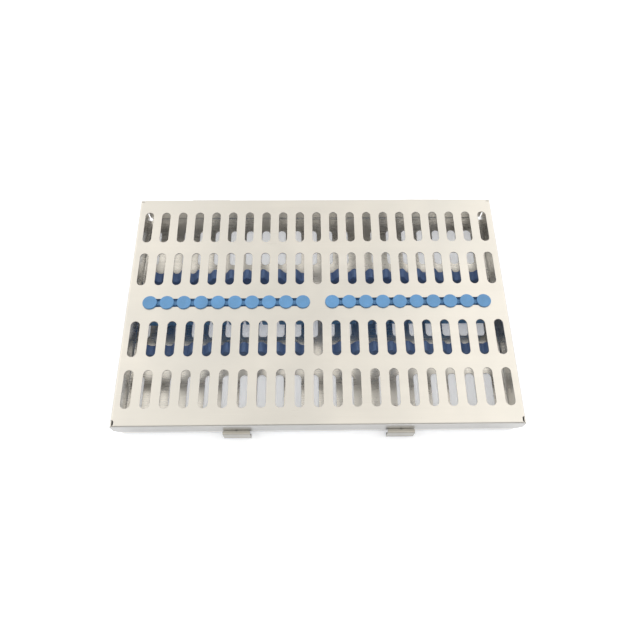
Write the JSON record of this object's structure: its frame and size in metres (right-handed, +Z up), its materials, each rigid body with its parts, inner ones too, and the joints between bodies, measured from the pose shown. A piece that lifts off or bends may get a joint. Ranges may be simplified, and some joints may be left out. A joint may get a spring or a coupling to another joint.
{
  "type": "dental instrument sterilisation cassette",
  "caption": "Flat stainless steel sterilisation cassette with slotted tray and hinged slotted lid, blue silicone combs and hold-down strips, and front flap latches.",
  "frame": {"origin": "centre of the whole outline on the plane that the tray rests on", "axes": "+X to the right along the front edge, +Y to the rear where the hinges are, +Z up through the lid"},
  "size_m": [0.283, 0.1926, 0.0262],
  "materials": {
    "tray_steel": "satin, fine grain along X",
    "lid_steel": "satin, fine grain along X",
    "rail_steel": "mill finish",
    "hinge_steel": "satin",
    "latch_steel": "satin",
    "pin_steel": "ground",
    "blue_silicone": "matt moulded silicone"
  },
  "bodies": {
    "base": {"comb_rail_front_left": "rail_steel", "comb_rail_front_right": "rail_steel", "comb_rail_rear_left": "rail_steel", "comb_rail_rear_right": "rail_steel", "hinge_pin_left": "pin_steel", "hinge_pin_right": "pin_steel", "hinge_tray_leaf_left": "hinge_steel", "hinge_tray_leaf_right": "hinge_steel", "latch_bracket_left": "latch_steel", "latch_bracket_right": "latch_steel", "latch_pin_left": "pin_steel", "latch_pin_right": "pin_steel", "silicone_comb_front_left": "blue_silicone", "silicone_comb_front_right": "blue_silicone", "silicone_comb_rear_left": "blue_silicone", "silicone_comb_rear_right": "blue_silicone", "tray": "tray_steel"},
    "lid": {"hinge_lid_leaf_left": "hinge_steel", "hinge_lid_leaf_right": "hinge_steel", "hold_down_strip_left": "blue_silicone", "hold_down_strip_right": "blue_silicone", "lid": "lid_steel"},
    "latch_left": {"latch_flap_left": "latch_steel"},
    "latch_right": {"latch_flap_right": "latch_steel"}
  },
  "joints": [
    {"name": "lid_hinge", "type": "hinge", "parent": "base", "child": "lid", "pos_m": [0, 0.0948, 0.0134], "axis": [-1, 0, 0], "range_deg": [0, 180]},
    {"name": "latch_left_hinge", "type": "hinge", "parent": "base", "child": "latch_left", "pos_m": [-0.0572, -0.0948, 0.0034], "axis": [1, 0, 0], "range_deg": [0, 95]},
    {"name": "latch_right_hinge", "type": "hinge", "parent": "base", "child": "latch_right", "pos_m": [0.0572, -0.0948, 0.0034], "axis": [1, 0, 0], "range_deg": [0, 95]}
  ]
}
